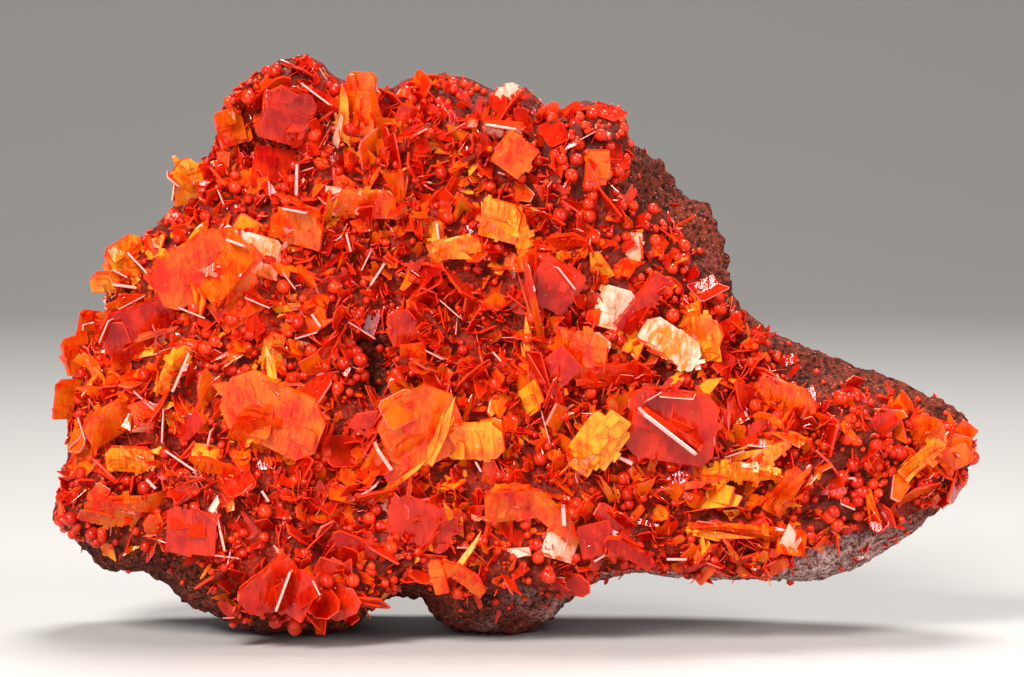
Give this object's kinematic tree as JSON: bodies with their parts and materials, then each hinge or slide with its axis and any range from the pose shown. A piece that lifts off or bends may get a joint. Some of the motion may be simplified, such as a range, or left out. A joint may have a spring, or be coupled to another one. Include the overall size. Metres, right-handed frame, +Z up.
{
  "type": "wulfenite and mimetite mineral specimen",
  "caption": "Natural mineral specimen: orange-red tabular wulfenite crystals on a red botryoidal mimetite coat over a leaning slab of brown gossan, standing on its lower lobes.",
  "frame": {"origin": "centre of the specimen's bounding box on the surface it stands on", "axes": "+X to the right along the long side as seen from the crystal face, +Y from the crystal face to the bare rock back, +Z up"},
  "size_m": [0.1498, 0.0496, 0.0935],
  "materials": {
    "rock": "rough, earthy brown gossan with small sparkling grains",
    "mimetite": "greasy to resinous red-orange botryoidal crust",
    "wulfenite_red": "clear deep red crystal, adamantine lustre",
    "wulfenite_orange": "clear orange crystal, adamantine lustre",
    "wulfenite_amber": "clear honey-yellow crystal, adamantine lustre, fine steps",
    "wulfenite_pale": "pale peach crystal faces that mirror the light"
  },
  "bodies": {
    "root": {"gossan_matrix": "rock", "mimetite_coat": "mimetite", "wulfenite_upper_left_leaf": "wulfenite_amber", "wulfenite_shoulder_plate": "wulfenite_orange", "wulfenite_shoulder_cream": "wulfenite_pale", "wulfenite_left_yellow_tuft": "wulfenite_amber", "wulfenite_left_broad_plate": "wulfenite_red", "wulfenite_left_rim_upper": "wulfenite_orange", "wulfenite_left_rim_lower": "wulfenite_orange", "wulfenite_left_standing_blade": "wulfenite_amber", "wulfenite_great_left_tablet": "wulfenite_orange", "wulfenite_blade_above_tablet": "wulfenite_amber", "wulfenite_saddle_plate": "wulfenite_orange", "wulfenite_groove_plate": "wulfenite_red", "wulfenite_long_red_blade": "wulfenite_orange", "wulfenite_flank_ridge": "wulfenite_orange", "wulfenite_flank_glow": "wulfenite_amber", "wulfenite_lower_left_fan": "wulfenite_orange", "wulfenite_lower_red_table": "wulfenite_red", "wulfenite_cream_leaflet": "wulfenite_pale", "wulfenite_tall_crest_plate": "wulfenite_orange", "wulfenite_upper_left_sheet": "wulfenite_red", "wulfenite_upper_left_spur": "wulfenite_orange", "wulfenite_crest_shelf": "wulfenite_orange", "wulfenite_centre_top_plate": "wulfenite_amber", "wulfenite_forked_plate": "wulfenite_amber", "wulfenite_clear_diamond": "wulfenite_orange", "wulfenite_cream_bar": "wulfenite_pale", "wulfenite_top_yellow_chip": "wulfenite_pale", "wulfenite_right_lobe_splinters": "wulfenite_amber", "wulfenite_clear_window": "wulfenite_orange", "wulfenite_centre_red_table": "wulfenite_red", "wulfenite_centre_red_roof": "wulfenite_red", "wulfenite_pink_chip": "wulfenite_pale", "wulfenite_ivory_plate": "wulfenite_pale", "wulfenite_leaning_red_strip": "wulfenite_red", "wulfenite_mirror_plate": "wulfenite_pale", "wulfenite_golden_pocket": "wulfenite_amber", "wulfenite_centre_tilted_plate": "wulfenite_orange", "wulfenite_red_beam": "wulfenite_red", "wulfenite_great_red_tablet": "wulfenite_red", "wulfenite_orange_side_tablet": "wulfenite_orange", "wulfenite_stepped_yellow": "wulfenite_amber", "wulfenite_great_round_plate": "wulfenite_orange", "wulfenite_golden_wing": "wulfenite_amber", "wulfenite_low_centre_plate": "wulfenite_orange", "wulfenite_low_cream_plates": "wulfenite_pale", "wulfenite_low_clear_plate": "wulfenite_red", "wulfenite_tail_golden_blades": "wulfenite_amber", "wulfenite_tail_standing_blades": "wulfenite_orange", "wulfenite_tail_curled_plate": "wulfenite_orange", "wulfenite_tail_tip_blades": "wulfenite_amber", "wulfenite_tail_top_plate": "wulfenite_orange", "wulfenite_tail_foot_ledge": "wulfenite_orange", "wulfenite_foot_red_tent": "wulfenite_red", "wulfenite_foot_middle_plate": "wulfenite_red", "wulfenite_foot_wide_window": "wulfenite_red", "wulfenite_foot_right_blades": "wulfenite_orange"}
  },
  "joints": []
}
